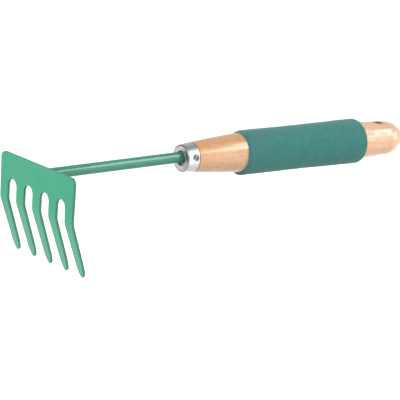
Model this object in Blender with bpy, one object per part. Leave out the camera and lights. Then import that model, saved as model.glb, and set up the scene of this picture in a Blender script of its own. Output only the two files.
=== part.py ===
"""Hand rake with a bent steel head on a round shaft, a turned wooden handle and a foam grip.

The tool lies level. +X runs from the head to the butt of the handle, +Y is across the head
and +Z is up, with the tines pointing down. Lengths are in metres.
"""

import math

import bmesh
import bpy
from mathutils import Vector

GAP = 0.0003

# Where the front of the handle sits: the origin is under the middle of the tool,
# level with the tips of the tines.
HANDLE_X = -0.0391
HANDLE_Z = 0.06727

# Rake head: a flat plate cut into tines that bend back toward the handle.
TINE_COUNT = 5
TINE_PITCH = 0.02006
SHEET_THICK = 0.0020
PLATE_HALF_WIDTH = 0.0452
PLATE_TOP = 0.0078
PLATE_CORNER = 0.0045
SLOT_TOP = -0.0099
TINE_HALF_AT_SLOT = 0.00460
TINE_HALF_AT_BEND = 0.00445
TINE_HALF_AT_TIP = 0.00350
BEND_BELOW_SHAFT = 0.0256
BEND_ANGLE = math.radians(19.5)
BEND_RADIUS = 0.0120
TINE_LOWER_LENGTH = 0.0422
TIP_LENGTH = 0.0120

# Shaft: it enters the handle a little above the middle and slopes down to the head.
SHAFT_RADIUS = 0.0040
SHAFT_REACH = 0.1246
SHAFT_RISE = 0.0009
SHAFT_TILT = math.radians(1.27)
TANG_LENGTH = 0.0600
WELD_RADIUS = 0.0070
WELD_LENGTH = 0.0045

# Ferrule: a drawn cup over the nose of the handle, pinned by one nail.
FERRULE_LENGTH = 0.0090
FERRULE_FRONT_RADIUS = 0.0101
FERRULE_REAR_RADIUS = 0.0109
FERRULE_WALL = 0.0008
FERRULE_EDGE = 0.0010
FERRULE_HOLE_RADIUS = 0.0053
NAIL_AT = 0.0057
NAIL_ANGLE = math.radians(11.0)
NAIL_HEAD_RADIUS = 0.0021
NAIL_HEAD_HEIGHT = 0.0007
NAIL_SHANK_RADIUS = 0.0009
NAIL_SHANK_LENGTH = 0.0040

# Handle: turned wood, measured from the front of the ferrule.
SHOULDER_RADIUS = 0.0110
SEAT_RADIUS = 0.0141
SEAT_START = 0.0509
SEAT_END = 0.1605
REAR_START = 0.1704
REAR_RADIUS = 0.0133
DOME_START = 0.1849
DOME_RADIUS = 0.0126
BUTT_AT = 0.2029
HANG_HOLE_AT = 0.1803
HANG_HOLE_RADIUS = 0.0035

# Grip: a foam sleeve.
GRIP_FRONT_RADIUS = 0.0163
GRIP_WAIST_RADIUS = 0.01615
GRIP_REAR_RADIUS = 0.0165
GRIP_EDGE = 0.0018

LATHE_STEPS = 48


def clear_scene():
    for item in list(bpy.data.objects):
        bpy.data.objects.remove(item, do_unlink=True)


def material(name, colour, roughness, metallic):
    made = bpy.data.materials.new(name)
    made.use_nodes = True
    shader = made.node_tree.nodes["Principled BSDF"]
    shader.inputs["Base Color"].default_value = (*colour, 1.0)
    shader.inputs["Roughness"].default_value = roughness
    shader.inputs["Metallic"].default_value = metallic
    return made


def object_from(name, body, look=None):
    bmesh.ops.recalc_face_normals(body, faces=body.faces[:])
    mesh = bpy.data.meshes.new(name)
    body.to_mesh(mesh)
    body.free()
    made = bpy.data.objects.new(name, mesh)
    bpy.context.collection.objects.link(made)
    if look:
        mesh.materials.append(look)
    return made


def lathe(name, outline, look=None):
    """Turn a closed outline of (along X, radius) points about the X axis."""
    body = bmesh.new()
    rings = []
    for along, radius in outline:
        if radius < 1e-7:
            rings.append([body.verts.new((along, 0.0, 0.0))])
            continue
        ring = []
        for step in range(LATHE_STEPS):
            turn = 2.0 * math.pi * step / LATHE_STEPS
            ring.append(body.verts.new((along, radius * math.cos(turn), radius * math.sin(turn))))
        rings.append(ring)
    last = len(rings) - 1
    closed = len(rings[0]) > 1
    for index in range(len(rings) if closed else last):
        near = rings[index]
        far = rings[(index + 1) % len(rings)]
        for step in range(LATHE_STEPS):
            after = (step + 1) % LATHE_STEPS
            if len(near) == 1:
                body.faces.new((near[0], far[step], far[after]))
            elif len(far) == 1:
                body.faces.new((near[step], near[after], far[0]))
            else:
                body.faces.new((near[step], near[after], far[after], far[step]))
    return object_from(name, body, look)


def shade(part, angle):
    part.data.shade_smooth()
    with bpy.context.temp_override(object=part, selected_objects=[part], active_object=part):
        bpy.ops.object.shade_auto_smooth(angle=math.radians(angle))


def arc(centre, radius, start, end, steps):
    points = []
    for step in range(steps + 1):
        turn = start + (end - start) * step / steps
        points.append((centre[0] + radius[0] * math.cos(turn), centre[1] + radius[1] * math.sin(turn)))
    return points


def cut(part, cutter):
    cutter.hide_render = True
    cutter.display_type = "WIRE"
    knife = part.modifiers.new(cutter.name, "BOOLEAN")
    knife.operation = "DIFFERENCE"
    knife.solver = "EXACT"
    knife.object = cutter


def rod_cutter(name, radius, length, location, rotation):
    body = bmesh.new()
    bmesh.ops.create_cone(
        body, cap_ends=True, segments=32, radius1=radius, radius2=radius, depth=length
    )
    made = object_from(name, body)
    made.location = location
    made.rotation_euler = rotation
    return made


def blank_outline():
    """The flat sheet before bending, as (across, up) points from the right top corner."""
    tip = -BEND_BELOW_SHAFT - TINE_LOWER_LENGTH
    tip_start = tip + TIP_LENGTH
    slot_radius = TINE_PITCH / 2.0 - TINE_HALF_AT_SLOT
    slot_centre = SLOT_TOP - slot_radius
    half = math.pi / 2.0
    corner = (PLATE_CORNER, PLATE_CORNER)
    inset = PLATE_HALF_WIDTH - PLATE_CORNER
    points = arc((inset, PLATE_TOP - PLATE_CORNER), corner, 0.0, half, 6)
    points += arc((-inset, PLATE_TOP - PLATE_CORNER), corner, half, math.pi, 6)
    for tine in range(TINE_COUNT):
        middle = (tine - (TINE_COUNT - 1) / 2.0) * TINE_PITCH
        points.append((middle - TINE_HALF_AT_SLOT, slot_centre))
        points.append((middle - TINE_HALF_AT_BEND, -BEND_BELOW_SHAFT))
        tip_size = (TINE_HALF_AT_TIP, TIP_LENGTH)
        points += arc((middle, tip_start), tip_size, math.pi, 2.0 * math.pi, 14)
        points.append((middle + TINE_HALF_AT_BEND, -BEND_BELOW_SHAFT))
        if tine < TINE_COUNT - 1:
            slot = (middle + TINE_PITCH / 2.0, slot_centre)
            points += arc(slot, (slot_radius, slot_radius), math.pi, 0.0, 14)[:-1]
        else:
            points.append((middle + TINE_HALF_AT_SLOT, slot_centre))
    return points


def bent(point):
    """Roll the sheet below the bend back toward the handle."""
    start = -BEND_BELOW_SHAFT + BEND_RADIUS * math.tan(BEND_ANGLE / 2.0)
    below = start - point.z
    if below <= 0.0:
        return point
    middle_radius = BEND_RADIUS - SHEET_THICK / 2.0
    turn = min(below / middle_radius, BEND_ANGLE)
    beyond = max(0.0, below - middle_radius * BEND_ANGLE)
    reach = BEND_RADIUS - point.x
    return Vector((
        BEND_RADIUS - reach * math.cos(turn) + beyond * math.sin(turn),
        point.y,
        start - reach * math.sin(turn) - beyond * math.cos(turn),
    ))


def make_head(look):
    body = bmesh.new()
    corners = [body.verts.new((0.0, across, up)) for across, up in blank_outline()]
    face = body.faces.new(corners)
    grown = bmesh.ops.extrude_face_region(body, geom=[face])
    moved = [item for item in grown["geom"] if isinstance(item, bmesh.types.BMVert)]
    bmesh.ops.translate(body, verts=moved, vec=(SHEET_THICK, 0.0, 0.0))
    start = -BEND_BELOW_SHAFT + BEND_RADIUS * math.tan(BEND_ANGLE / 2.0)
    run = (BEND_RADIUS - SHEET_THICK / 2.0) * BEND_ANGLE
    for step in range(5):
        geometry = body.verts[:] + body.edges[:] + body.faces[:]
        level = (0.0, 0.0, start - run * step / 4.0)
        bmesh.ops.bisect_plane(body, geom=geometry, dist=1e-7, plane_co=level, plane_no=(0, 0, 1))
    bmesh.ops.triangulate(body, faces=body.faces[:])
    for corner in body.verts:
        corner.co = bent(corner.co)
    return object_from("rake_head", body, look)


def make_shaft(look):
    front = -SHAFT_REACH + SHEET_THICK + GAP
    edge = 0.0005
    outline = [
        (front, 0.0),
        (front, SHAFT_RADIUS - edge),
        (front + edge, SHAFT_RADIUS),
        (TANG_LENGTH - edge, SHAFT_RADIUS),
        (TANG_LENGTH, SHAFT_RADIUS - edge),
        (TANG_LENGTH, 0.0),
    ]
    return lathe("shaft", outline, look)


def make_weld(look):
    front = SHEET_THICK + GAP
    inner = SHAFT_RADIUS + GAP
    edge = 0.0004
    swell = (WELD_RADIUS - inner - edge, WELD_LENGTH - edge)
    outline = [(front, inner), (front, WELD_RADIUS)]
    for across, along in arc((WELD_RADIUS, WELD_LENGTH), swell, 1.5 * math.pi, math.pi, 5):
        outline.append((front + along, across))
    outline.append((front + WELD_LENGTH, inner))
    return lathe("weld_bead", outline, look)


def make_ferrule(look):
    wall = FERRULE_WALL
    rim = FERRULE_EDGE
    outline = [(wall, FERRULE_HOLE_RADIUS), (0.0, FERRULE_HOLE_RADIUS)]
    outline += arc((rim, FERRULE_FRONT_RADIUS - rim), (rim, rim), math.pi, math.pi / 2.0, 4)
    outline.append((FERRULE_LENGTH, FERRULE_REAR_RADIUS))
    outline.append((FERRULE_LENGTH, FERRULE_REAR_RADIUS - wall))
    outline.append((wall, FERRULE_FRONT_RADIUS - wall))
    return lathe("ferrule", outline, look)


def make_nail(look):
    """A round-headed nail, standing on its point along Z before it is placed."""
    outline = [(-NAIL_SHANK_LENGTH, 0.0), (-NAIL_SHANK_LENGTH + 0.001, NAIL_SHANK_RADIUS)]
    outline += [(0.0, NAIL_SHANK_RADIUS), (0.0, NAIL_HEAD_RADIUS)]
    head = (NAIL_HEAD_RADIUS, NAIL_HEAD_HEIGHT)
    for across, along in arc((0.0, 0.0), head, 0.0, math.pi / 2.0, 5)[1:-1]:
        outline.append((along, across))
    outline.append((NAIL_HEAD_HEIGHT, 0.0))
    return lathe("ferrule_nail", outline, look)


def make_handle(look):
    nose = FERRULE_WALL + GAP
    slope = (FERRULE_REAR_RADIUS - FERRULE_FRONT_RADIUS) / FERRULE_LENGTH
    inside = FERRULE_FRONT_RADIUS - FERRULE_WALL - GAP
    shoulder = FERRULE_LENGTH + GAP
    outline = [(nose, 0.0), (nose, inside - 0.0006), (nose + 0.0006, inside)]
    outline += [(shoulder, inside + slope * shoulder), (shoulder, SHOULDER_RADIUS)]
    swell = SEAT_RADIUS - SHOULDER_RADIUS
    for step in range(1, 6):
        along = step / 5.0
        radius = SHOULDER_RADIUS + swell * (1.3 * along - 0.3 * along * along)
        outline.append((shoulder + (SEAT_START - shoulder) * along, radius))
    outline.append((SEAT_END, SEAT_RADIUS))
    outline.append((REAR_START, REAR_RADIUS))
    dome = (BUTT_AT - DOME_START, DOME_RADIUS)
    outline += arc((DOME_START, 0.0), dome, math.pi / 2.0, 0.0, 12)[:-1]
    outline.append((BUTT_AT, 0.0))
    return lathe("handle", outline, look)


def make_grip(look):
    inner = SEAT_RADIUS + GAP
    edge = (GRIP_EDGE, GRIP_EDGE)
    half = math.pi / 2.0
    front = (SEAT_START + GRIP_EDGE, GRIP_FRONT_RADIUS - GRIP_EDGE)
    rear = (SEAT_END - GRIP_EDGE, GRIP_REAR_RADIUS - GRIP_EDGE)
    outline = [(SEAT_START, inner)] + arc(front, edge, math.pi, half, 4)[1:]
    outline.append(((SEAT_START + SEAT_END) / 2.0, GRIP_WAIST_RADIUS))
    outline += arc(rear, edge, half, 0.0, 4)[:-1] + [(SEAT_END, inner)]
    return lathe("grip", outline, look)


def main():
    clear_scene()
    paint = material("green_paint", (0.09, 0.46, 0.28), 0.35, 0.0)
    weld_paint = material("green_paint_weld", (0.09, 0.44, 0.27), 0.45, 0.0)
    shaft_paint = material("green_paint_shaft", (0.09, 0.42, 0.26), 0.30, 0.0)
    nickel = material("nickel_plate", (0.78, 0.78, 0.77), 0.20, 1.0)
    nail_steel = material("nail_steel", (0.55, 0.55, 0.55), 0.30, 1.0)
    wood = material("varnished_wood", (0.70, 0.38, 0.19), 0.35, 0.0)
    foam = material("green_foam", (0.07, 0.24, 0.21), 0.85, 0.0)

    handle = make_handle(wood)
    handle.location = (HANDLE_X, 0.0, HANDLE_Z)
    shaft = make_shaft(shaft_paint)
    shaft.location = (HANDLE_X, 0.0, HANDLE_Z + SHAFT_RISE)
    shaft.rotation_euler = (0.0, -SHAFT_TILT, 0.0)
    head = make_head(paint)
    weld = make_weld(weld_paint)
    for part in (head, weld):
        part.parent = shaft
        part.location = (-SHAFT_REACH, 0.0, 0.0)
    ferrule = make_ferrule(nickel)
    grip = make_grip(foam)
    nail = make_nail(nail_steel)
    seat = FERRULE_REAR_RADIUS + GAP
    outward = Vector((0.0, -math.cos(NAIL_ANGLE), math.sin(NAIL_ANGLE)))
    nail.location = Vector((NAIL_AT, 0.0, 0.0)) + outward * seat
    nail.rotation_euler = outward.to_track_quat("X", "Z").to_euler()
    for part in (ferrule, grip, nail):
        part.parent = handle

    bore_length = TANG_LENGTH + 0.002
    bore = rod_cutter(
        "tang_bore", SHAFT_RADIUS + GAP, bore_length, (bore_length / 2.0, 0.0, 0.0),
        (0.0, math.pi / 2.0, 0.0),
    )
    bore.parent = shaft
    hang_hole = rod_cutter(
        "hang_hole", HANG_HOLE_RADIUS, 0.05, (HANG_HOLE_AT, 0.0, 0.0), (0.0, 0.0, 0.0)
    )
    hang_hole.parent = handle
    nail_hole = rod_cutter(
        "nail_hole", NAIL_SHANK_RADIUS + GAP, 0.008, (0.0, 0.0, 0.0), (0.0, math.pi / 2.0, 0.0)
    )
    nail_hole.parent = nail
    for cutter in (bore, hang_hole, nail_hole):
        cut(handle, cutter)
    cut(ferrule, nail_hole)

    for part in (head, shaft, weld, ferrule, nail, handle, grip):
        shade(part, 30.0)


if __name__ == "__main__":
    main()
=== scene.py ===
"""Hand rake: a painted steel head on a round shaft, a turned wooden handle and a foam grip.

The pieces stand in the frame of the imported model. +X runs from the head to the butt of the
handle, +Y is across the head and +Z is up. Lengths are in metres.
"""

import itertools
import math

import bmesh
import bpy
from mathutils import Matrix, Vector, noise


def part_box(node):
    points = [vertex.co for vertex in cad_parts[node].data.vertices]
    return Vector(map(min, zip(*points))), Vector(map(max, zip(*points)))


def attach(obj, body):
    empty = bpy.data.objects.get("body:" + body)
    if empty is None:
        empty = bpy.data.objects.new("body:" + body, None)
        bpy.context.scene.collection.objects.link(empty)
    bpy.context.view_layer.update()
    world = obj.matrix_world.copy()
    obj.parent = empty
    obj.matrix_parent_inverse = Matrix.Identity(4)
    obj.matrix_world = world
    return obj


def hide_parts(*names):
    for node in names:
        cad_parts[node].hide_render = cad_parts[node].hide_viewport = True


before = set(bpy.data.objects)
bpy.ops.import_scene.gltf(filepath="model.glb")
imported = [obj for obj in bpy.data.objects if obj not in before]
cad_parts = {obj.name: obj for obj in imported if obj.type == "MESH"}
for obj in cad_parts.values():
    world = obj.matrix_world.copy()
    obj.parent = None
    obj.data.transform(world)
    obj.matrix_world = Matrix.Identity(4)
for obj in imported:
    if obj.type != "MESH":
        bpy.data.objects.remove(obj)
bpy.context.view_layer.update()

bl_info = {
    "name": "Hand Rake",
    "version": (1, 0, 0),
    "blender": (4, 5, 0),
    "location": "3D View > Sidebar > Rake",
    "description": "Builds the detailed pieces of a hand rake around its frame",
    "category": "Add Mesh",
}

QUARTER = math.pi / 2.0
TURN = 2.0 * math.pi
MM = 0.001

# Taken from the frame: the handle's axis, the ferrule's front, and the shaft's tilt and length.
FERRULE_LOW, FERRULE_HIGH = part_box("ferrule")
HANDLE_LOW, HANDLE_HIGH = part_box("handle")
SHAFT_LOW, SHAFT_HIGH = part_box("shaft")
HEAD_LOW, HEAD_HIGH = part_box("rake_head")
GRIP_LOW, GRIP_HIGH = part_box("grip")
NAIL_LOW, NAIL_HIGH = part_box("ferrule_nail")
AXIS_Z = (HANDLE_LOW[2] + HANDLE_HIGH[2]) / 2.0
FRONT_X = FERRULE_LOW[0]
FERRULE_LONG = FERRULE_HIGH[0] - FRONT_X
SHAFT_THICK = SHAFT_HIGH[1] - SHAFT_LOW[1]
SHAFT_TILT = math.atan2(
    SHAFT_HIGH[2] - SHAFT_LOW[2] - SHAFT_THICK, SHAFT_HIGH[0] - SHAFT_LOW[0]
)
SHAFT_LONG = SHAFT_HIGH[0] - SHAFT_LOW[0] - SHAFT_THICK * math.sin(SHAFT_TILT)
SHAFT_MIDDLE = (SHAFT_LOW + SHAFT_HIGH) / 2.0
SHEET = 0.0020
JOINT_GAP = 0.0003
# Heights where the painted sheen on the head's lower tines starts and where it is full.
PAINTED_SHEEN_TOP = 0.052
PAINTED_SHEEN_FULL = HEAD_LOW[2] + 0.006
BUTT_TRIM = 0.0005

# Local places: X starts at the front of the ferrule, and at the back and front of the plate.
HANDLE_PLACE = Matrix.Translation((FRONT_X, 0.0, AXIS_Z))
SHAFT_PLACE = (
    Matrix.Translation(SHAFT_MIDDLE)
    @ Matrix.Rotation(-SHAFT_TILT, 4, "Y")
    @ Matrix.Translation((-SHAFT_LONG / 2.0 - JOINT_GAP, 0.0, 0.0))
)
HEAD_PLACE = SHAFT_PLACE @ Matrix.Translation((-SHEET, 0.0, 0.0))


# ---- node trees


def step(operation, turned=False):
    """A method that adds one Math node. turned swaps its two values."""

    def method(self, *others):
        values = (*others, self) if turned else (self, *others)
        return self.tree.add("ShaderNodeMath", {"operation": operation}, dict(enumerate(values)))

    return method


class Wire:
    """A node socket that takes part in plain arithmetic. Each step adds one Math node."""

    def __init__(self, tree, socket):
        self.tree = tree
        self.socket = socket

    def __neg__(self):
        return self * -1.0

    __add__, __radd__ = step("ADD"), step("ADD", True)
    __sub__, __rsub__ = step("SUBTRACT"), step("SUBTRACT", True)
    __mul__, __rmul__ = step("MULTIPLY"), step("MULTIPLY", True)
    __truediv__ = step("DIVIDE")
    __gt__, __lt__ = step("GREATER_THAN"), step("LESS_THAN")
    sin, cos, tan = step("SINE"), step("COSINE"), step("TANGENT")
    nearest = step("ROUND")
    least, most = step("MINIMUM"), step("MAXIMUM")


class Tree:
    """A node tree and the one way its nodes are made."""

    def __init__(self, inner):
        self.inner = inner

    def add(self, kind, settings=None, values=None, output=0):
        """Add a node: its settings first, then the values or links of its sockets."""
        node = self.inner.nodes.new(kind)
        for name, setting in (settings or {}).items():
            setattr(node, name, setting)
        for name, value in (values or {}).items():
            if isinstance(value, Wire):
                self.inner.links.new(value.socket, node.inputs[name])
            elif isinstance(value, list):
                for wire in value:
                    self.inner.links.new(wire.socket, node.inputs[name])
            else:
                node.inputs[name].default_value = value
        return Wire(self, node.outputs[output]) if len(node.outputs) else None

    def also(self, wire, output):
        """Another output of the node behind a wire."""
        return Wire(self, wire.socket.node.outputs[output])

    def share(self, value, start, end):
        """How far value is from start to end, held between 0 and 1."""
        sockets = {"Value": value, "From Min": start, "From Max": end}
        return self.add("ShaderNodeMapRange", {"clamp": True}, sockets)

    def apart(self, vector):
        first = self.add("ShaderNodeSeparateXYZ", {}, {0: vector})
        return first, self.also(first, 1), self.also(first, 2)

    def together(self, x, y, z):
        return self.add("ShaderNodeCombineXYZ", {}, {0: x, 1: y, 2: z})

    def vector_maths(self, operation, *values, output=0):
        settings = {"operation": operation}
        return self.add("ShaderNodeVectorMath", settings, dict(enumerate(values)), output)

    def reach(self, vector):
        """The length of a vector."""
        return self.vector_maths("LENGTH", vector, output="Value")


class Sizes:
    """A tree's named inputs, each made when first asked for."""

    def __init__(self, tree, settings, more):
        self.tree, self.settings, self.more = tree, settings, more
        self.entry = tree.inner.nodes.new("NodeGroupInput")
        self.values = {}

    def __getattr__(self, name):
        if name not in self.values:
            face = self.tree.inner.interface
            face.new_socket(name, in_out="INPUT", socket_type="NodeSocketFloat")
            given = name in self.more
            self.values[name] = self.more[name] if given else getattr(self.settings, name)
        return Wire(self.tree, self.entry.outputs[name])


class Shape(Tree):
    """A Geometry Nodes tree with named inputs, whose result becomes one plain mesh."""

    MERGE = 1e-6

    def __init__(self, name, settings, **more):
        """An input's value is the one given in more, or else the setting of its name."""
        super().__init__(bpy.data.node_groups.new(name, "GeometryNodeTree"))
        face = self.inner.interface
        face.new_socket("Geometry", in_out="OUTPUT", socket_type="NodeSocketGeometry")
        self.size = Sizes(self, settings, more)

    def position(self):
        return self.apart(self.add("GeometryNodeInputPosition"))

    def moved(self, geometry, x, y, z):
        sockets = {"Geometry": geometry, "Position": self.together(x, y, z)}
        return self.add("GeometryNodeSetPosition", {}, sockets)

    def merged(self, geometry):
        sockets = {"Geometry": geometry, "Distance": self.MERGE}
        return self.add("GeometryNodeMergeByDistance", {}, sockets)

    def grid(self, wide, columns, rows):
        """A flat grid with rows one apart."""
        return self.add("GeometryNodeMeshGrid", {}, {
            "Size X": float(wide), "Size Y": float(rows),
            "Vertices X": columns + 1, "Vertices Y": rows + 1,
        })

    def shares(self, row, counts):
        """How far row has come through each of some stretches, given the rows of each."""
        ends = list(itertools.accumulate(counts, initial=0))
        return [self.share(row, float(start), float(end)) for start, end in zip(ends, ends[1:])]

    def finish(self, geometry, look, place):
        """Realize, set the material, run the tree and keep its result as a plain mesh."""
        solid = self.add("GeometryNodeRealizeInstances", {}, {"Geometry": geometry})
        dressed = self.add("GeometryNodeSetMaterial", {}, {"Geometry": solid, "Material": look})
        self.add("NodeGroupOutput", {}, {0: dressed})
        piece = new_piece(self.inner.name, bpy.data.meshes.new(self.inner.name))
        grower = piece.modifiers.new("shape", "NODES")
        grower.node_group = self.inner
        for item in self.inner.interface.items_tree:
            if item.in_out == "INPUT":
                grower[item.identifier] = float(self.size.values[item.name])
        keep_result(piece)
        piece.data.transform(place)
        point_outward(piece.data)
        return piece


class Turned(Shape):
    """A shape turned about X. Its outline is walked in stretches from a first point."""

    # How much of its way along and of its way out a stretch has made, for a share from 0 to 1.
    FORMS = {
        "straight": lambda share: (share, share),
        "shoulder": lambda share: (1.0 - (share * QUARTER).cos(), (share * QUARTER).sin()),
        "dome": lambda share: ((share * QUARTER).sin(), 1.0 - (share * QUARTER).cos()),
        "swell": lambda share: (share, share * (1.3 - 0.3 * share)),
        "blend": lambda share: (share, share * share * (3.0 - 2.0 * share)),
        "bead": lambda share: (share * share * (1.6 - 0.6 * share), share * (1.5 - 0.5 * share)),
    }

    def turn(self, around, start, stretches, ripple=None):
        """Each stretch has its rows, its way along X, its change of radius and maybe a form."""
        counts = [stretch[0] for stretch in stretches]
        rows = sum(counts)
        grid = self.grid(rows, rows, around)
        x, y, _ = self.position()
        row = x + rows / 2.0
        angle = (y + around / 2.0) * (TURN / around)
        along, radius = start
        for share, (_, advance, growth, *form) in zip(self.shares(row, counts), stretches):
            run, rise = self.FORMS[form[0] if form else "straight"](share)
            along = run * advance + along
            radius = rise * growth + radius
        if ripple:
            radius = ripple(self, angle, row, radius)
        return self.merged(self.moved(grid, along, radius * angle.cos(), radius * angle.sin()))


class Look(Tree):
    """A material. What varies over the surface feeds the shader's own sockets."""

    def __init__(self, name, constants):
        self.material = bpy.data.materials.new(name)
        self.material.use_nodes = True
        super().__init__(self.material.node_tree)
        self.shader = self.inner.nodes["Principled BSDF"]
        for label, value in constants.items():
            self.shader.inputs[label].default_value = value
        self.place = self.add("ShaderNodeTexCoord", {}, {}, "Object")

    def feed(self, label, wire):
        self.inner.links.new(wire.socket, self.shader.inputs[label])

    def mix(self, share, first, second, way="MIX"):
        settings = {"data_type": "RGBA", "blend_type": way}
        pair = [item if isinstance(item, Wire) else (*item, 1.0) for item in (first, second)]
        return self.add("ShaderNodeMix", settings, {0: share, 6: pair[0], 7: pair[1]}, 2)

    def layered(self, base, *layers):
        """Lay tints over a base. Each has its pattern, where that starts and ends, its strength."""
        for pattern, start, end, strength, tint in layers:
            base = self.mix(self.share(pattern, start, end) * strength, base, tint)
        return base

    def noise(self, place, scale, detail=2.0, rough=0.5, twist=0.0):
        return self.add("ShaderNodeTexNoise", {}, {
            "Vector": place, "Scale": scale, "Detail": detail,
            "Roughness": rough, "Distortion": twist,
        })

    def drawn(self, place, along, across, **settings):
        """Noise with one scale along X and another across it."""
        return self.noise(self.fitted(place, (along, across, across)), 1.0, **settings)

    def cells(self, place, scale):
        return self.add("ShaderNodeTexVoronoi", {}, {"Vector": place, "Scale": scale})

    def fitted(self, place, scale, shift=(0.0, 0.0, 0.0)):
        sockets = {"Vector": place, "Location": shift, "Scale": scale}
        return self.add("ShaderNodeMapping", {}, sockets)

    def marked(self, name):
        """A value that is stored on the mesh."""
        return self.add("ShaderNodeAttribute", {"attribute_name": name}, {}, "Fac")

    def finished(self, base, rough, height, depth):
        """The material, with what every finish varies: its colour, roughness and relief."""
        self.feed("Base Color", base)
        self.feed("Roughness", rough)
        self.feed("Normal", self.add("ShaderNodeBump", {}, {"Height": height, "Distance": depth}))
        return self.material


# ---- mesh helpers


def new_piece(name, data):
    piece = bpy.data.objects.new(name, data)
    bpy.context.collection.objects.link(piece)
    return piece


def keep_result(piece):
    """Replace a piece's mesh with what its modifiers make of it."""
    graph = bpy.context.evaluated_depsgraph_get()
    mesh = bpy.data.meshes.new_from_object(piece.evaluated_get(graph))
    piece.modifiers.clear()
    piece.data = mesh
    mesh.name = piece.name


def point_outward(mesh):
    body = bmesh.new()
    body.from_mesh(mesh)
    bmesh.ops.recalc_face_normals(body, faces=body.faces[:])
    if body.calc_volume(signed=True) < 0.0:
        bmesh.ops.reverse_faces(body, faces=body.faces[:])
    body.to_mesh(mesh)
    body.free()


def piece_from(name, body, look):
    """A piece from a finished bmesh, in one material."""
    piece = new_piece(name, bpy.data.meshes.new(name))
    body.to_mesh(piece.data)
    body.free()
    piece.data.materials.append(look)
    return piece


def declare(piece, sharp, node):
    """Smooth a piece up to an angle, hang it under the root body and hide the part that it
    replaces.
    """
    piece.data.shade_smooth()
    piece.data.set_sharp_from_angle(angle=math.radians(sharp))
    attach(piece, "root")
    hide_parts(node)


# ---- finishes


def shade(colour, by, plus=0.0):
    """A lighter or darker colour. by and plus are one number, or one for each channel."""
    factors = by if isinstance(by, tuple) else (by, by, by)
    extras = plus if isinstance(plus, tuple) else (plus, plus, plus)
    channels = zip(colour, factors, extras)
    return tuple(min(1.0, channel * factor + extra) for channel, factor, extra in channels)


def steel_paint(name, colour, gloss, peel):
    """Baked enamel with a fine orange peel, painted shade on cut edges, a painted sheen at the
    tips.
    """
    look = Look(name, {"IOR": 1.45, "Specular IOR Level": 0.32})
    drift = look.noise(look.place, 32.0, detail=3.0, rough=0.55)
    grain = look.noise(look.place, 1400.0, rough=0.6)
    dust = look.noise(look.place, 5200.0, detail=1.0)
    _, _, height = look.apart(look.place)
    # Painted sheen: paler and greyer toward the tips, standing in for the floor's reflection.
    painted_tip_sheen = look.share(height + 0.008 * drift, PAINTED_SHEEN_TOP, PAINTED_SHEEN_FULL)
    # Painted shade: the rim mark darkens the cut edges and, most of all, the sides facing ±Y.
    rim = look.marked("rim")
    pale = shade(colour, (1.2, 1.03, 1.06), (0.006, 0.0, 0.006))
    base = look.layered(
        shade(colour, 0.94),
        (drift, 0.36, 0.66, 1.0, pale),
        (grain, 0.35, 0.65, 0.25, pale),
        (painted_tip_sheen, 0.0, 1.0, 0.45 + 0.25 * dust, shade(colour, 0.90, 0.130)),
        (rim, 0.0, 1.0, 0.45 + 0.4 * look.share(dust, 0.35, 0.7), shade(colour, 0.40, 0.048)),
    )
    rough = gloss + 0.10 * drift + 0.06 * grain + 0.08 * rim + 0.08 * painted_tip_sheen
    return look.finished(base, rough, grain + 0.25 * dust, peel)


def shaft_paint(name, colour):
    """Glossy enamel, a little uneven, with fine scratches along the shaft."""
    look = Look(name, {"Specular IOR Level": 0.10, "Coat IOR": 1.5, "Coat Roughness": 0.04})
    drift = look.drawn(look.place, 14.0, 60.0, detail=3.0, rough=0.55)
    streak = look.drawn(look.place, 60.0, 2600.0, detail=3.0, rough=0.6)
    peel = look.noise(look.place, 900.0)
    deep = shade(colour, 0.86)
    base = look.layered(
        deep,
        (drift, 0.3, 0.7, 1.0, shade(colour, 1.12, 0.01)),
        (streak, 0.5, 0.75, 0.35, deep),
    )
    look.feed("Coat Weight", 0.95 - 0.3 * streak)
    rough = 0.42 + 0.12 * drift + 0.10 * streak
    return look.finished(base, rough, peel + 0.4 * streak, 0.008 * MM)


def nickel_plate(name, colour, nail_place, nail_way):
    """Bright nickel with fine lines round it, a duller face, and painted shade at hole, edge and
    nail.
    """
    look = Look(name, {"Metallic": 1.0})
    lines = look.drawn(look.place, 9000.0, 120.0, rough=0.7)
    cloud = look.noise(look.place, 420.0, detail=3.0, rough=0.6)
    x, y, z = look.apart(look.place)
    rise = z - AXIS_Z
    face = 1.0 - look.share(x, FRONT_X + 0.00015, FRONT_X + 0.0006)
    # Distances from the nail's axis, then from the handle's: hole, -Y side and front edge, for
    # painted shade.
    away = look.vector_maths("SUBTRACT", look.place, nail_place)
    away = look.reach(look.vector_maths("CROSS_PRODUCT", away, nail_way))
    nail = look.share(away + 0.0006 * cloud, 0.0033, 0.0024)
    spread = look.reach(look.together(0.0, y, rise))
    hole = look.share(spread + 0.0006 * cloud, 0.0067, 0.0055) * face
    painted_side_shade = look.share(0.002 * cloud - y, 0.003, 0.0075) * face
    painted_side_shade = painted_side_shade * look.share(spread, 0.0056, 0.0066)
    edge = look.share(spread, 0.0086, 0.0091) * (1.0 - look.share(spread, 0.0098, 0.0101))
    edge = edge * face * (0.45 + 0.55 * look.share(rise - 0.6 * y, -0.002, 0.006))
    # Painted shade round the hole, on the face's -Y side, along its outer edge (a painted dark
    # reflection, stronger on top) and in the nail's dimple.
    painted_shade = (hole * 0.55 + painted_side_shade * 0.45).most(edge * 0.7).most(nail * 0.75)
    base = look.layered(
        colour,
        (cloud, 0.35, 0.75, 1.0, shade(colour, 0.84)),
        (face, 0.0, 1.0, 0.85, shade(colour, 0.62)),
        (painted_shade, 0.0, 1.0, 1.0, shade(colour, 0.12)),
    )
    rough = 0.20 + 0.03 * cloud + 0.01 * lines + 0.16 * face
    return look.finished(base, rough, lines + 0.6 * cloud, 0.0008 * MM)


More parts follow.
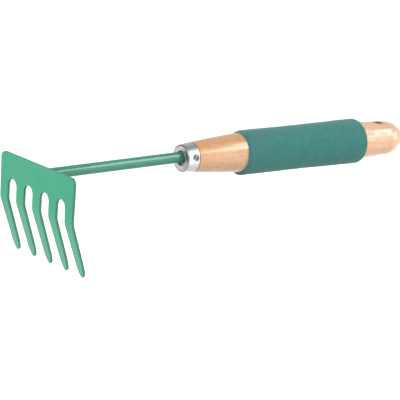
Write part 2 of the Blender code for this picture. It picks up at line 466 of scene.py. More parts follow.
def nail_steel(name, colour):
    """Dull oxidised steel, brighter and smoother on the proud bar: rubbed steel and a painted
    highlight.
    """
    look = Look(name, {"Metallic": 0.9})
    pits = look.noise(look.place, 2600.0, detail=3.0, rough=0.6)
    polish_and_glint = look.marked("polish_and_glint")
    base = look.layered(
        shade(colour, 0.16),
        (pits, 0.3, 0.7, 1.0, shade(colour, 0.6)),
        (polish_and_glint, 0.0, 1.0, 1.0, shade(colour, 1.7)),
    )
    return look.finished(base, 0.42 + 0.2 * pits - 0.34 * polish_and_glint, pits, 0.02 * MM)


def turned_wood(name, light, dark, coat, hole_place, hole_radius):
    """Varnished hardwood: fibres, flecks, pores, amber by the ferrule, painted shade on top, in its
    hole and joints.
    """
    look = Look(name, {"IOR": 1.5, "Coat Roughness": 0.17, "Coat IOR": 1.6})
    grain = look.fitted(look.place, (1000.0, 1000.0, 1000.0), (0.0, 0.0, -1000.0 * AXIS_Z))
    fibre = look.drawn(grain, 0.06, 1.6, detail=4.0, rough=0.62)
    mottle = look.drawn(grain, 0.22, 0.55, detail=3.0, rough=0.65, twist=0.4)
    fleck = look.share(look.drawn(grain, 0.42, 2.6, twist=0.3), 0.60, 0.74)
    pores = look.cells(look.fitted(grain, (0.35, 4.2, 4.2)), 1.0)
    pores = 1.0 - look.share(pores, 0.10, 0.34)
    x, y, _ = look.apart(look.place)
    _, _, rise = look.apart(grain)
    base = wood_figure(look, grain, (fibre, mottle, fleck, pores), light, dark)
    # Amber by the ferrule; its deeper tint toward the top is painted shade.
    amber_and_top_shade = 0.30 + 0.55 * look.share(rise + 4.0 * mottle, 2.0, 9.0)
    amber_and_top_shade = amber_and_top_shade * look.share(x, FRONT_X + 0.100, FRONT_X + 0.060)
    base = look.mix(amber_and_top_shade, base, (0.85, 0.70, 0.43), "MULTIPLY")
    # Painted shade in the hanging hole, inside and just behind the ferrule, and by the grip's ends.
    hole = look.reach(look.together(x - hole_place, y, 0.0)) + 0.0004 * fibre
    painted_shade = look.share(hole, hole_radius + 0.0018, hole_radius + 0.0006) * 0.62
    painted_shade = painted_shade.most(painted_joint_shade(look, x, mottle))
    base = look.mix(painted_shade, base, shade(dark, 0.16))
    look.feed("Coat Weight", coat - 0.3 * fleck)
    height = 0.6 * fibre - 0.5 * fleck - 0.4 * pores
    return look.finished(base, 0.38 + 0.16 * fibre, height, 0.030 * MM)


def growth_rings(look, grain):
    """Rings round the heart of the tree, which lay beside the handle and below it."""
    beside, below, step = 74.0, 22.0, 3.4
    x, y, z = look.apart(grain)
    sweep = look.drawn(grain, 0.010, 0.05)
    heart = look.together(0.0, y + beside + x * 0.035, z + below - x * 0.02)
    turn = (look.reach(heart) + 9.0 * sweep) * (TURN / step)
    return 0.5 + 0.5 * turn.sin()


def wood_figure(look, grain, marks, light, dark):
    """The colour of the bare wood: rings and fibres, then specks, curl and broad blotches."""
    fibre, mottle, fleck, pores = marks
    blotch = look.drawn(grain, 0.03, 0.10, detail=3.0, rough=0.6)
    speck = look.drawn(grain, 0.30, 1.50, detail=3.0, rough=0.6)
    curl = look.drawn(grain, 0.085, 0.46, detail=3.0, rough=0.6, twist=0.25)
    tone = 0.34 * growth_rings(look, grain) + 0.45 * look.share(fibre, 0.3, 0.7)
    tone = tone + 0.55 * look.share(mottle, 0.32, 0.68) - 0.18
    deep = shade(dark, 0.55)
    return look.layered(
        light,
        (tone, 0.0, 1.0, 1.0, dark),
        (fleck, 0.0, 1.0, 0.42, deep),
        (pores, 0.0, 1.0, 0.16, deep),
        (blotch, 0.42, 0.72, 0.45, shade(light, (1.04, 0.93, 0.80))),
        (speck, 0.54, 0.70, 0.60, shade(dark, (0.97, 0.88, 0.80))),
        (speck, 0.46, 0.30, 0.60, shade(light, 1.16)),
        (curl, 0.50, 0.66, 0.55, shade(light, (0.93, 0.76, 0.62))),
        (curl, 0.50, 0.34, 0.50, shade(light, (1.03, 1.14, 1.50))),
        (blotch, 0.50, 0.28, 0.55, shade(light, (1.02, 1.10, 1.45))),
    )


def painted_joint_shade(look, x, mottle):
    """Painted shade on the wood's nose inside the ferrule, a painted shadow just behind its rear
    rim, and painted shade where the grip meets the wood.
    """
    behind = FRONT_X + FERRULE_LONG
    rim = look.share(x, FRONT_X + 0.004, FRONT_X + 0.003) * 0.93
    seam = look.share(x + 0.0004 * mottle, behind + 0.0014, behind + 0.0007) * 0.55
    collar = look.share(x, GRIP_LOW[0] - 0.0016, GRIP_LOW[0] - 0.0002)
    collar = collar * look.share(x, GRIP_HIGH[0] + 0.0016, GRIP_HIGH[0] + 0.0002)
    return rim.most(seam).most(collar * 0.42)


def closed_foam(name, colour, middle):
    """Dense closed-cell foam: fine open pores, a soft mottle and dust toward its ends."""
    look = Look(name, {"Specular IOR Level": 0.22, "Sheen Weight": 0.15, "Sheen Roughness": 0.5})
    mottle = look.noise(look.place, 210.0, detail=4.0, rough=0.62)
    dust = look.noise(look.place, 42.0, detail=3.0, rough=0.55)
    speck = look.noise(look.place, 760.0, rough=0.6)
    pore = 1.0 - look.share(look.cells(look.place, 1700.0), 0.12, 0.42)
    pin = 1.0 - look.share(look.cells(look.place, 3600.0), 0.10, 0.36)
    x, _, _ = look.apart(look.place)
    end = look.share(x, middle - 0.010, middle - 0.040) * 0.75
    end = end.most(look.share(x, middle + 0.020, middle + 0.042) * 0.35)
    pale, deep = shade(colour, 1.18, 0.006), shade(colour, 0.62)
    base = look.layered(
        colour,
        (mottle, 0.32, 0.70, 1.0, pale),
        (speck, 0.42, 0.24, 0.5, pale),
        (speck, 0.56, 0.74, 0.6, deep),
        (dust, 0.38, 0.60, end, shade(colour, (1.8, 1.01, 1.06))),
        (pore, 0.0, 1.0, 0.40, deep),
        (pin, 0.0, 1.0, 0.22, deep),
    )
    height = 0.5 * mottle - 0.8 * pore - 0.5 * pin
    return look.finished(base, 0.80 + 0.12 * mottle, height, 0.10 * MM)


# ---- settings


def length(name, description, default, low=0.0, high=1.0):
    return bpy.props.FloatProperty(
        name=name, description=description, default=default,
        min=low, max=high, precision=5, unit="LENGTH",
    )


def angle(name, description, degrees):
    return bpy.props.FloatProperty(
        name=name, description=description, default=math.radians(degrees), unit="ROTATION"
    )


def colour(name, description, default):
    return bpy.props.FloatVectorProperty(
        name=name, description=description, default=default,
        size=3, min=0.0, max=1.0, subtype="COLOR",
    )


class HeadSettings(bpy.types.PropertyGroup):
    """Sizes of the bent sheet head"""

    tines: bpy.props.IntProperty(
        name="Tines", description="How many tines the sheet is cut into", default=5, min=2, max=12
    )
    pitch: length("Tine pitch", "From the middle of one tine to the next", 0.02006)
    half_width: length("Half width", "From the middle to the side of the plate", HEAD_HIGH[1])
    top: length("Top edge", "Top of the plate above the shaft's axis", 0.0078)
    corner: length("Corner radius", "Radius of the two upper corners", 0.0045)
    slot_top: length("Slot top", "Top of the slots below the shaft's axis", 0.0099)
    slot_half: length("Tine half width at the slot", "Half the tine at the plate", 0.0046)
    bend_half: length("Tine half width at the bend", "Half the tine at the bend", 0.00445)
    tip_half: length("Tine half width at the tip", "Half the tine where the tip begins", 0.0035)
    bend: length("Bend", "Bend line below the shaft's axis", 0.0256)
    bend_angle: angle("Bend angle", "How far the tines turn back", 19.5)
    bend_radius: length("Bend radius", "Radius of the bend on the front face", 0.0120)
    lower: length("Lower tine", "From the bend to the tip, along the tine", 0.0422)
    tip: length("Tip", "Length of the rounded tip", 0.0120)
    edge: length("Edge rounding", "Radius on the edges of the sheet", 0.00045)


class ShaftSettings(bpy.types.PropertyGroup):
    """Sizes of the shaft and of the weld behind the plate"""

    radius: length("Radius", "Radius of the shaft", SHAFT_THICK / 2.0)
    weld_radius: length("Weld radius", "Outer radius of the weld on the plate", 0.0071)
    weld_length: length("Weld length", "How far the weld climbs along the shaft", 0.0047)
    weld_steps: bpy.props.IntProperty(
        name="Weld ripples", description="Ripples round the weld", default=17, min=0, max=60
    )


class FerruleSettings(bpy.types.PropertyGroup):
    """Sizes of the metal cup and its nail"""

    front_radius: length("Front radius", "Outer radius at the front edge", 0.0101)
    rear_radius: length("Rear radius", "Outer radius at the open rear rim", 0.0109)
    hole: length("Hole radius", "Radius of the hole that the shaft passes", 0.0053)
    wall: length("Wall", "Thickness of the metal", 0.0008)
    edge: length("Front edge", "Radius of the front edge", 0.0007)
    nail: length("Nail head radius", "Radius of the nail's head", 0.0021)
    nail_rise: length("Nail head height", "Height of the nail's dome", 0.0007)


class HandleSettings(bpy.types.PropertyGroup):
    """Sizes of the turned wooden handle, along its axis from the front of the ferrule"""

    shoulder: length("Shoulder radius", "Radius behind the ferrule", 0.0110)
    seat: length("Seat radius", "Radius under the grip", 0.01425)
    seat_start: length("Seat start", "Where the grip starts", GRIP_LOW[0] - FRONT_X)
    seat_end: length("Seat end", "Where the grip ends", GRIP_HIGH[0] - FRONT_X)
    rear_start: length("Rear start", "Where the wood has narrowed behind the grip", 0.1704)
    rear: length("Rear radius", "Radius behind the grip", 0.0133)
    dome_start: length("Dome start", "Where the round butt begins", 0.1849)
    dome: length("Dome radius", "Radius where the round butt begins", 0.0126)
    butt: length("Butt", "End of the handle", HANDLE_HIGH[0] - FRONT_X - BUTT_TRIM)
    hole_at: length("Hanging hole", "Middle of the hanging hole", 0.1803)
    hole: length("Hanging hole radius", "Radius of the hanging hole", 0.0035)


class GripSettings(bpy.types.PropertyGroup):
    """Sizes of the foam sleeve"""

    front: length("Front radius", "Outer radius near the front end", 0.0163)
    waist: length("Waist radius", "Outer radius at the middle", 0.01615)
    rear: length("Rear radius", "Outer radius near the rear end", 0.0165)
    bore: length("Inner radius", "Radius of the hole through the sleeve", 0.01415)
    front_edge: length("Front edge", "Rounding of the front end", 0.0016)
    rear_edge: length("Rear edge", "Rounding of the rear end", 0.0030)
    slant: length("Front slant", "How far the top of the front end sits back", 0.0040)
    sag: length("Sag", "How far the front of the skin hangs below the bore", 0.00030)
    swell: length("Unevenness", "How far the foam's skin wanders", 0.00012)


class FinishSettings(bpy.types.PropertyGroup):
    """Colours of the finishes"""

    sheet: colour("Head paint", "Green enamel on the head", (0.036, 0.315, 0.174))
    shaft: colour("Shaft paint", "Green enamel on the shaft", (0.030, 0.232, 0.140))
    nickel: colour("Ferrule", "Nickel plate", (0.70, 0.70, 0.69))
    nail: colour("Nail", "Steel of the nail", (0.38, 0.38, 0.39))
    wood_light: colour("Light wood", "Pale wood between the rings", (0.74, 0.430, 0.232))
    wood_dark: colour("Dark wood", "Darker late wood", (0.62, 0.315, 0.140))
    varnish: bpy.props.FloatProperty(
        name="Varnish", description="Strength of the clear coat",
        default=1.0, min=0.0, max=1.0, subtype="FACTOR",
    )
    foam: colour("Foam", "Green foam", (0.032, 0.182, 0.160))


class StageSettings(bpy.types.PropertyGroup):
    """The camera and the studio"""

    azimuth: angle("Azimuth", "Camera's turn round the tool", -37.609)
    elevation: angle("Elevation", "Camera's height above level", 14.072)
    roll: angle("Roll", "Camera's roll", 4.338)
    distance: length("Distance", "Camera to the point it looks at", 2.6, 0.1, 20.0)
    aim: bpy.props.FloatVectorProperty(
        name="Aim", description="The point that the camera looks at",
        default=(-0.07198, -0.06873, 0.05625), size=3, subtype="XYZ", unit="LENGTH",
    )
    lens: bpy.props.FloatProperty(
        name="Lens", description="Focal length in millimetres", default=335.4, min=20.0
    )
    floor: length("Floor", "How far the floor is below the tines", 0.30)


# ---- pieces


class RAKE_OT_head(bpy.types.Operator):
    """Cut, round and bend the sheet steel head"""

    bl_idname = "rake.head"
    bl_label = "Head"

    # Rows of the corner, plate, slot's arch, upper tine, bend, lower tine and tip.
    ROWS = (10, 8, 16, 5, 10, 14, 14)
    COLUMNS = 8
    TIP_SWEEP = math.radians(86.0)
    # The strips stand this far apart until their corners get their real places.
    STEP = 4.0

    def execute(self, context):
        sizes = context.scene.rake_head
        look = steel_paint("head_paint", context.scene.rake_finish.sheet, 0.36, 0.010 * MM)
        shape = Shape("bent_head", sizes, thickness=SHEET)
        sheet = self.cut_sheet(shape)
        walls = shape.add("GeometryNodeExtrudeMesh", {"mode": "FACES"}, {
            "Mesh": sheet, "Offset": shape.together(1.0, 0.0, 0.0),
            "Offset Scale": shape.size.thickness, "Individual": False,
        })
        front = shape.add("GeometryNodeFlipFaces", {}, {"Mesh": sheet})
        solid = shape.merged(shape.add("GeometryNodeJoinGeometry", {}, {0: [walls, front]}))
        piece = shape.finish(self.bend(shape, solid), look, HEAD_PLACE)
        self.round_edges(piece, sizes.edge)
        declare(piece, 40.0, "rake_head")
        return {"FINISHED"}

    def cut_sheet(self, shape):
        """One strip of rows and columns for each tine, laid flat and joined above the slots."""
        total = sum(self.ROWS)
        strip = shape.grid(2.0, self.COLUMNS, total)
        spots = shape.add("GeometryNodeMeshLine", {}, {
            "Count": shape.size.tines, "Offset": (self.STEP, 0.0, 0.0),
        })
        strips = shape.add("GeometryNodeInstanceOnPoints", {}, {"Points": spots, "Instance": strip})
        strips = shape.add("GeometryNodeRealizeInstances", {}, {"Geometry": strips})
        x, y, _ = shape.position()
        tine = (x / self.STEP).nearest()
        across = x - tine * self.STEP
        height, half = self.outline(shape, y + total / 2.0, tine, across)
        middle = (tine - (shape.size.tines - 1.0) / 2.0) * shape.size.pitch
        return shape.merged(shape.moved(strips, 0.0, middle + across * half, height))

    def outline(self, shape, row, tine, across):
        """Height of a row of the flat sheet, and how far it reaches to the side of its tine."""
        size = shape.size
        corner, plate, arch, upper, bend, lower, tip = shape.shares(row, self.ROWS)
        corner, arch, tip = corner * QUARTER, arch * QUARTER, tip * self.TIP_SWEEP
        start, run = self.bend_line(shape)
        slot_top, fold = -size.slot_top, -size.bend
        slot = size.pitch / 2.0 - size.slot_half
        slot_middle = slot_top - slot
        shoulder = size.top - size.corner
        tip_start = fold - size.lower + size.tip
        height = size.top - size.corner * (1.0 - corner.cos())
        height -= (shoulder - slot_top) * plate
        height -= slot * (1.0 - arch.cos())
        height -= (slot_middle - start) * upper
        height -= run * bend
        height -= (start - run - tip_start) * lower
        height -= size.tip * tip.sin()
        inner = size.pitch / 2.0 - slot * arch.sin()
        side = size.half_width - (size.tines - 1.0) / 2.0 * size.pitch
        outer = side - size.corner * (1.0 - corner.sin())
        outer -= (side - size.slot_half) * shape.share(height, shoulder, slot_middle)
        left = (tine < 0.5) * (across < 0.0)
        right = (tine > size.tines - 1.5) * (across > 0.0)
        half = inner + (left + right) * (outer - inner)
        narrowing = size.bend_half - size.slot_half
        half += narrowing * shape.share(height, slot_middle, fold)
        narrowing = size.tip_half - size.bend_half
        half += narrowing * shape.share(height, fold, tip_start)
        return height, half * tip.cos()

    def bend_line(self, shape):
        """Where the bend starts on the flat sheet, and the length of sheet inside it."""
        size = shape.size
        start = size.bend_radius * (size.bend_angle / 2.0).tan() - size.bend
        return start, (size.bend_radius - size.thickness / 2.0) * size.bend_angle

    def bend(self, shape, solid):
        """Roll the sheet below the bend back toward the handle."""
        start, run = self.bend_line(shape)
        turn = shape.size.bend_angle
        depth, across, height = shape.position()
        below = (start - height).most(0.0)
        rolled = (below * turn / run).least(turn)
        beyond = (below - run).most(0.0)
        reach = shape.size.bend_radius - depth
        back = shape.size.bend_radius - reach * rolled.cos() + beyond * rolled.sin()
        down = height.most(start) - reach * rolled.sin() - beyond * rolled.cos()
        return shape.moved(solid, back, across, down)

    def round_edges(self, piece, radius):
        """Round the cut edges and mark them, so that the paint can lay painted shade there."""
        edge = piece.modifiers.new("edge", "BEVEL")
        edge.width = radius
        edge.segments = 3
        edge.limit_method = "ANGLE"
        edge.angle_limit = math.radians(50.0)
        keep_result(piece)
        mesh = piece.data
        # The rim mark is 0.7 on the cut edges and up to 1 on the sides facing ±Y, for painted
        # shade.
        rim = mesh.attributes.new("rim", "FLOAT", "FACE")
        for face in mesh.polygons:
            flat = abs(face.normal.y) < 0.1 and abs(face.normal.z) < 0.45
            rim.data[face.index].value = 0.0 if flat else max(0.70, abs(face.normal.y))


class RAKE_OT_shaft(bpy.types.Operator):
    """Turn the round shaft and lay the weld that joins it to the head"""

    bl_idname = "rake.shaft"
    bl_label = "Shaft and Weld"

    OVERLAP = 0.0001
    RIPPLE = 0.00014
    WANDER = 0.00020

    def execute(self, context):
        sizes = context.scene.rake_shaft
        tone = context.scene.rake_finish.shaft
        self.make_shaft(sizes, shaft_paint("shaft_enamel", tone))
        self.make_weld(sizes, steel_paint("weld_paint", tone, 0.42, 0.03 * MM))
        return {"FINISHED"}

    def make_shaft(self, sizes, look):
        shape = Turned("painted_shaft", sizes, length=SHAFT_LONG, edge=0.0005)
        radius, edge = shape.size.radius, shape.size.edge
        body = shape.turn(64, (JOINT_GAP, 0.0), (
            (6, 0.0, radius - edge),
            (5, edge, edge, "shoulder"),
            (60, shape.size.length - edge * 2.0, 0.0),
            (5, edge, -edge, "dome"),
            (6, 0.0, edge - radius),
        ))
        piece = shape.finish(body, look, SHAFT_PLACE)
        declare(piece, 35.0, "shaft")

    def make_weld(self, sizes, look):
        """A ring that climbs the shaft and just touches it."""
        shape = Turned("weld", sizes, inner=sizes.radius - self.OVERLAP, toe=0.0006)
        toe, inside, long = shape.size.toe, shape.size.inner, shape.size.weld_length
        spread = shape.size.weld_radius - inside - toe
        body = shape.turn(160, (0.0, inside), (
            (8, 0.0, spread + toe * 0.4),
            (6, toe, toe * 0.6, "shoulder"),
            (22, long - toe, spread * -0.94, "bead"),
            (5, 0.0, spread * -0.06 - toe),
            (10, -long, 0.0),
        ), self.ripple)
        piece = shape.finish(body, look, SHAFT_PLACE)
        declare(piece, 60.0, "weld_bead")

    def ripple(self, shape, turn, row, radius):
        """Beats and a slow wander on the crown of the weld, fading at its two toes."""
        crown = shape.share(row, 12.0, 20.0) * (1.0 - shape.share(row, 28.0, 36.0))
        beat = (turn * shape.size.weld_steps + row * 0.16).sin()
        lean = (turn * 2.0 + 0.7).sin() * 0.6 + (turn * 5.0).sin() * 0.4
        return radius + crown * (beat * self.RIPPLE + lean * self.WANDER)


class RAKE_OT_ferrule(bpy.types.Operator):
    """Draw the metal cup, dimple it and set its nail"""

    bl_idname = "rake.ferrule"
    bl_label = "Ferrule and Nail"

    DIMPLE = 0.0029
    DIMPLE_DEPTH = 0.00055
    DIMPLE_FLAT = 0.45
    SEAT_DEPTH = 0.0008
    RINGS = 14
    AROUND = 48
    BAR_SLANT = math.radians(58.0)
    BAR_HALF = 0.00042
    DISH = 0.00025
    POINT = -0.0043

    def execute(self, context):
        sizes = context.scene.rake_ferrule
        finish = context.scene.rake_finish
        self.make_cup(sizes, nickel_plate("nickel_plate", finish.nickel, *self.nail_axis()))
        self.make_nail(sizes, nail_steel("nail_steel", finish.nail))
        return {"FINISHED"}

    def make_cup(self, sizes, look):
        """Walked from the hole over the lip and the face, along the side and back inside."""
        shape = Turned(
            "ferrule_cup", sizes, length=FERRULE_LONG, lip=0.00026, groove=0.00024, hem=0.00025
        )
        size = shape.size
        lip, groove, edge, wall, hem = size.lip, size.groove, size.edge, size.wall, size.hem
        front, flare = size.front_radius, size.rear_radius - size.front_radius
        body = shape.turn(224, (wall, size.hole), (
            (3, lip * 0.2 - wall, 0.0),
            (6, -lip, lip, "dome"),
            (6, lip * 0.9, lip, "shoulder"),
            (5, 0.0, front - edge - size.hole - lip * 2.0 - groove * 2.0),
            (4, groove, groove),
            (4, -groove, groove),
            (12, edge, edge, "shoulder"),
            (40, size.length - edge - hem, flare),
            (4, hem, -hem, "dome"),
            (3, 0.0, hem - wall),
            (40, wall - size.length, -flare),
            (6, 0.0, size.hole + wall - front),
        ))
        piece = shape.finish(body, look, HANDLE_PLACE)
        self.press_dimple(piece.data)
        declare(piece, 38.0, "ferrule")

    def nail_axis(self):
        """The nail's place on the ferrule and the way that its head faces."""
        middle = (NAIL_LOW + NAIL_HIGH) / 2.0
        out = Vector((0.0, middle[1], middle[2] - AXIS_Z)).normalized()
        return Vector((middle[0], 0.0, AXIS_Z)), out

    def press_dimple(self, mesh):
        place, out = self.nail_axis()
        for corner in mesh.vertices:
            away = corner.co - place
            height = away.dot(out)
            spread = (away - out * height).length / self.DIMPLE
            if height > 0.0 and spread < 1.0:
                slope = max(0.0, spread - self.DIMPLE_FLAT) / (1.0 - self.DIMPLE_FLAT)
                corner.co -= out * self.DIMPLE_DEPTH * (0.5 + 0.5 * math.cos(math.pi * slope))

    def make_nail(self, sizes, look):
        """A round head with a raised bar across it, over a short pointed shank."""
        place, out = self.nail_axis()
        along = Vector((1.0, 0.0, 0.0))
        upward = -along.cross(out)
        seat = sizes.rear_radius - self.SEAT_DEPTH
        body = bmesh.new()

        def corner(x, y, height):
            spot = place + out * (seat + height) + along * x + upward * y
            return body.verts.new(spot)

        def ring(spread, height=None):
            """Corners at one height, or over the shape of the head where none is given."""
            turns = [TURN * step / self.AROUND for step in range(self.AROUND)]
            spots = [(spread * math.cos(turn), spread * math.sin(turn)) for turn in turns]
            rise = self.head_rise
            return [corner(x, y, rise(x, y, sizes) if height is None else height) for x, y in spots]

        rows = [
            ring(sizes.nail * math.sin(QUARTER * step / self.RINGS))
            for step in range(1, self.RINGS + 1)
        ]
        middle = corner(0.0, 0.0, self.head_rise(0.0, 0.0, sizes))
        rows += [
            ring(sizes.nail, -0.0003), ring(sizes.nail * 0.86, -0.0005),
            ring(0.0009, -0.0005), ring(0.0009, -0.0032), ring(0.0004, -0.0040),
        ]
        point = corner(0.0, 0.0, self.POINT)
        for step in range(self.AROUND):
            after = (step + 1) % self.AROUND
            body.faces.new((middle, rows[0][step], rows[0][after]))
            for near, far in zip(rows, rows[1:]):
                body.faces.new((near[step], far[step], far[after], near[after]))
            body.faces.new((point, rows[-1][after], rows[-1][step]))
        piece = piece_from("nail", body, look)
        # The bar's mark: rubbed steel and a painted highlight, full where the bar stands proud.
        polish_and_glint = piece.data.attributes.new("polish_and_glint", "FLOAT", "POINT")
        for spot in piece.data.vertices:
            proud = (spot.co - place).dot(out) - seat
            polish_and_glint.data[spot.index].value = min(1.0, max(0.0, (proud - 0.0002) / 0.0003))
        point_outward(piece.data)
        declare(piece, 50.0, "ferrule_nail")

    def head_rise(self, x, y, sizes):
        """Height of the head above its seat: a shallow dish with a slanting bar across it."""
        spread = math.hypot(x, y) / sizes.nail
        off = x * math.sin(self.BAR_SLANT) - y * math.cos(self.BAR_SLANT)
        bar = math.exp(-((off / self.BAR_HALF) ** 2)) * (1.0 - spread ** 4)
        rim = self.DISH * math.sqrt(max(0.0, 1.0 - spread ** 6))
        return rim - self.DISH * (1.0 - spread ** 2) + sizes.nail_rise * bar


class RAKE_OT_handle(bpy.types.Operator):
    """Turn the wooden handle and bore it"""

    bl_idname = "rake.handle"
    bl_label = "Handle"

    def execute(self, context):
        sizes = context.scene.rake_handle
        finish = context.scene.rake_finish
        look = turned_wood(
            "varnished_wood", finish.wood_light, finish.wood_dark, finish.varnish,
            FRONT_X + sizes.hole_at, sizes.hole,
        )
        shape = self.profile(sizes, context.scene.rake_ferrule)
        size = shape.size
        edge, step, nose = size.edge, size.step, size.nose_radius
        body = shape.turn(144, (size.nose, 0.0), (
            (10, 0.0, nose - edge),
            (4, edge, edge, "shoulder"),
            (8, size.behind - size.nose - edge, size.neck - nose),
            (2, 0.0, size.shoulder - step - size.neck),
            (4, step, step, "shoulder"),
            (56, size.seat_start - size.behind - step, size.seat - size.shoulder, "swell"),
            (20, size.seat_end - size.seat_start, 0.0),
            (14, size.rear_start - size.seat_end, size.rear - size.seat),
            (20, size.dome_start - size.rear_start, size.dome - size.rear, "blend"),
            (40, size.butt - size.dome_start, -size.dome, "dome"),
        ))
        piece = shape.finish(body, look, HANDLE_PLACE)
        self.drill(piece, [self.hanging_hole(sizes, look), self.tang_bore(look)])
        declare(piece, 35.0, "handle")
        return {"FINISHED"}

    def profile(self, sizes, cup):
        """The handle's sizes, with a nose that fits inside the ferrule."""
        nose = cup.wall + JOINT_GAP
        nose_radius = cup.front_radius - nose
        behind = FERRULE_LONG + JOINT_GAP
        flare = (cup.rear_radius - cup.front_radius) / FERRULE_LONG
        return Turned(
            "turned_handle", sizes, nose=nose, nose_radius=nose_radius, behind=behind,
            neck=nose_radius + flare * behind, edge=0.0006, step=0.0004,
        )

    def hanging_hole(self, sizes, look):
        """A cutter with soft mouths, standing upright through the rear of the handle."""
        shape = Turned("hanging_hole", sizes, half=sizes.dome + 0.0002, mouth=0.0007, above=0.003)
        half, mouth, above = shape.size.half, shape.size.mouth, shape.size.above
        wide = shape.size.hole + mouth
        body = shape.turn(72, (-half - above, 0.0), (
            (2, 0.0, wide),
            (2, above, 0.0),
            (8, mouth, -mouth, "shoulder"),
            (24, half * 2.0 - mouth * 2.0, 0.0),
            (8, mouth, mouth, "dome"),
            (2, above, 0.0),
            (2, 0.0, -wide),
        ))
        upright = Matrix.Translation((sizes.hole_at, 0.0, 0.0)) @ Matrix.Rotation(-QUARTER, 4, "Y")
        return shape.finish(body, look, HANDLE_PLACE @ upright)

    def tang_bore(self, look):
        """A cutter for the blind bore that holds the end of the shaft."""
        radius, long = SHAFT_THICK / 2.0 + JOINT_GAP, SHAFT_LONG + 0.002
        shape = Turned("tang_bore", None, radius=radius, long=long)
        body = shape.turn(64, (0.0, 0.0), (
            (2, 0.0, shape.size.radius),
            (30, shape.size.long, 0.0),
            (2, 0.0, -shape.size.radius),
        ))
        return shape.finish(body, look, SHAFT_PLACE)

    def drill(self, piece, cutters):
        for cutter in cutters:
            knife = piece.modifiers.new(cutter.name, "BOOLEAN")
            knife.operation = "DIFFERENCE"
            knife.solver = "EXACT"
            knife.object = cutter
        keep_result(piece)
        for cutter in cutters:
            bpy.data.objects.remove(cutter, do_unlink=True)


class RAKE_OT_grip(bpy.types.Operator):
    """Mould the foam sleeve"""

    bl_idname = "rake.grip"
    bl_label = "Foam Grip"

    SLANT_REACH = 0.012
    SAG_REACH = 0.070
    BROAD = 95.0
    SMALL = 420.0

    def execute(self, context):
        sizes = context.scene.rake_grip
        handle = context.scene.rake_handle
        middle = (GRIP_LOW[0] + GRIP_HIGH[0]) / 2.0
        look = closed_foam("green_foam", context.scene.rake_finish.foam, middle)
        shape = Turned("foam_sleeve", sizes, start=handle.seat_start, end=handle.seat_end)
        size = shape.size
        front_edge, rear_edge = size.front_edge, size.rear_edge
        half = (size.end - size.start - front_edge - rear_edge) / 2.0
        body = shape.turn(176, (size.start, size.bore), (
            (5, 0.0, size.front - front_edge - size.bore),
            (9, front_edge, front_edge, "shoulder"),
            (80, half, size.waist - size.front, "blend"),
            (80, half, size.rear - size.waist, "blend"),
            (9, rear_edge, rear_edge * -0.8, "dome"),
            (5, 0.0, size.bore - size.rear + rear_edge * 0.8),
            (24, size.start - size.end, 0.0),
        ))
        piece = shape.finish(body, look, HANDLE_PLACE)
        self.knead(piece.data, sizes)
        declare(piece, 50.0, "grip")
        return {"FINISHED"}

    def knead(self, mesh, sizes):
        """Slant the front end, let the skin sag and wander a little, and leave the bore true."""
        for corner in mesh.vertices:
            out = Vector((0.0, corner.co.y, corner.co.z - AXIS_Z))
            skin = (out.length - sizes.bore) / (sizes.waist - sizes.bore)
            if skin < 0.05:
                continue
            soft = min(1.0, skin)
            behind = corner.co.x - GRIP_LOW[0]
            rise = max(0.0, out.z / sizes.waist)
            near = max(0.0, 1.0 - behind / self.SLANT_REACH)
            corner.co.x += sizes.slant * near * rise * rise * soft
            behind = corner.co.x - GRIP_LOW[0]
            corner.co.z -= sizes.sag * soft * (1.2 - behind / self.SAG_REACH)
            broad = noise.noise(corner.co * self.BROAD)
            small = noise.noise(corner.co * self.SMALL)
            corner.co += out.normalized() * sizes.swell * skin * (broad + 0.25 * small)


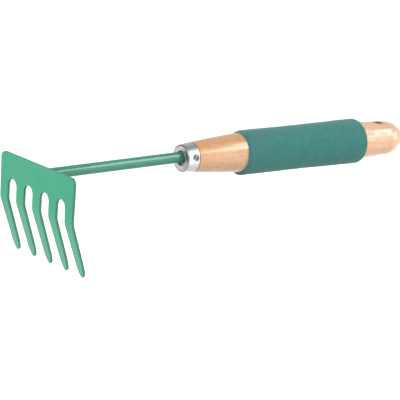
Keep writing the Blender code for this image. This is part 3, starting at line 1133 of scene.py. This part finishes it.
class RAKE_OT_stage(bpy.types.Operator):
    """Set the floor, the lights and the camera"""

    bl_idname = "rake.stage"
    bl_label = "Stage"

    # Name, way from the tool, distance, width and height, watts, and lean in degrees.
    LIGHTS = (
        ("key_light", (0.66, -0.44, 0.61), 1.60, (0.60, 1.00), 13.2, -14.0),
        ("front_light", (-0.93, -0.10, 0.36), 1.30, (0.80, 0.80), 11.5, 0.0),
        ("rear_light", (0.92, -0.36, 0.16), 1.40, (0.60, 0.60), 4.2, 0.0),
        ("side_panel", (0.62, -0.74, 0.30), 1.60, (0.90, 1.30), 4.6, 0.0),
        ("back_light", (0.10, 0.90, 0.30), 1.60, (0.90, 0.90), 5.0, 0.0),
    )

    def execute(self, context):
        sizes = context.scene.rake_stage
        scene = context.scene
        scene.view_settings.view_transform = "Standard"
        aim = Vector(sizes.aim)
        self.lay_floor(HEAD_LOW[2] - sizes.floor)
        self.light_room(scene)
        lamps = {light[0]: self.softbox(aim, *light) for light in self.LIGHTS}
        # The side panel only shows as a reflection.
        lamps["side_panel"].visible_diffuse = False
        self.set_camera(scene, sizes, aim)
        return {"FINISHED"}

    def lay_floor(self, height):
        """Pale glowing paper with a painted shadow: greyer right under the tool."""
        look = Look("floor_paper", {"Roughness": 0.9, "Emission Strength": 0.62})
        grain = look.noise(look.place, 9.0, detail=3.0)
        tone = look.mix(grain, (0.90, 0.90, 0.90), (0.93, 0.93, 0.93))
        x, y, _ = look.apart(look.place)
        # Painted shadow: colour and glow darken toward a spot just under the tool.
        away = look.reach(look.together(x - 0.10, y + 0.10, 0.0))
        tone = look.mix(look.share(away, 0.20, 0.70), (0.50, 0.50, 0.50), tone)
        look.feed("Base Color", tone)
        look.feed("Emission Color", tone)
        body = bmesh.new()
        bmesh.ops.create_circle(body, cap_ends=True, segments=96, radius=30.0)
        bmesh.ops.translate(body, verts=body.verts[:], vec=(0.0, 0.0, height))
        floor = piece_from("floor", body, look.material)
        floor.visible_diffuse = False

    def light_room(self, scene):
        """Pale walls that dim toward the ceiling and a little toward the floor."""
        world = bpy.data.worlds.new("studio")
        world.use_nodes = True
        scene.world = world
        room = Tree(world.node_tree)
        way = room.add("ShaderNodeTexCoord", {}, {}, "Generated")
        _, _, height = room.apart(way)
        strength = 0.92 - 0.30 * room.share(height, 0.04, 0.28)
        strength -= 0.27 * room.share(height, 0.60, 1.00)
        strength -= 0.14 * room.share(height, -0.04, -0.20)
        panel = world.node_tree.nodes["Background"]
        world.node_tree.links.new(strength.socket, panel.inputs["Strength"])
        panel.inputs["Color"].default_value = (1.0, 1.0, 1.0, 1.0)

    def softbox(self, aim, name, toward, distance, size, power, lean):
        """A rectangle of light facing the tool, with its height set across the handle."""
        lamp = bpy.data.lights.new(name, "AREA")
        lamp.shape = "RECTANGLE"
        lamp.size, lamp.size_y = size
        lamp.energy = power
        back = Vector(toward).normalized()
        up = back.cross(Vector((1.0, 0.0, 0.0))).normalized()
        side = up.cross(back)
        holder = new_piece(name, lamp)
        holder.matrix_world = (
            Matrix.Translation(aim + back * distance)
            @ Matrix((side, up, back)).transposed().to_4x4()
            @ Matrix.Rotation(math.radians(lean), 4, "Z")
        )
        return holder

    def set_camera(self, scene, sizes, aim):
        lens = bpy.data.cameras.new("camera")
        lens.lens = sizes.lens
        lens.clip_end = 100.0
        scene.camera = new_piece("camera", lens)
        scene.camera.matrix_world = (
            Matrix.Translation(aim)
            @ Matrix.Rotation(sizes.azimuth, 4, "Z")
            @ Matrix.Rotation(QUARTER - sizes.elevation, 4, "X")
            @ Matrix.Rotation(sizes.roll, 4, "Z")
            @ Matrix.Translation((0.0, 0.0, sizes.distance))
        )


class RAKE_PT_panel(bpy.types.Panel):
    """Lists the settings and the steps"""

    bl_idname = "RAKE_PT_panel"
    bl_label = "Hand Rake"
    bl_space_type = "VIEW_3D"
    bl_region_type = "UI"
    bl_category = "Rake"

    def draw(self, context):
        for name in SETTINGS:
            group = getattr(context.scene, name)
            box = self.layout.box()
            for item in group.bl_rna.properties:
                if item.identifier not in ("rna_type", "name"):
                    box.prop(group, item.identifier)
        for step in STEPS:
            self.layout.operator(step.bl_idname)


SETTINGS = {
    "rake_head": HeadSettings,
    "rake_shaft": ShaftSettings,
    "rake_ferrule": FerruleSettings,
    "rake_handle": HandleSettings,
    "rake_grip": GripSettings,
    "rake_finish": FinishSettings,
    "rake_stage": StageSettings,
}
STEPS = (
    RAKE_OT_head, RAKE_OT_shaft, RAKE_OT_ferrule, RAKE_OT_handle, RAKE_OT_grip, RAKE_OT_stage,
)


def register():
    for name, group in SETTINGS.items():
        bpy.utils.register_class(group)
        setattr(bpy.types.Scene, name, bpy.props.PointerProperty(type=group))
    for item in (*STEPS, RAKE_PT_panel):
        bpy.utils.register_class(item)


def unregister():
    for item in (RAKE_PT_panel, *reversed(STEPS)):
        bpy.utils.unregister_class(item)
    for name, group in SETTINGS.items():
        delattr(bpy.types.Scene, name)
        bpy.utils.unregister_class(group)


def main():
    register()
    for step in STEPS:
        getattr(bpy.ops.rake, step.bl_idname.split(".")[1])()


if __name__ == "__main__":
    main()
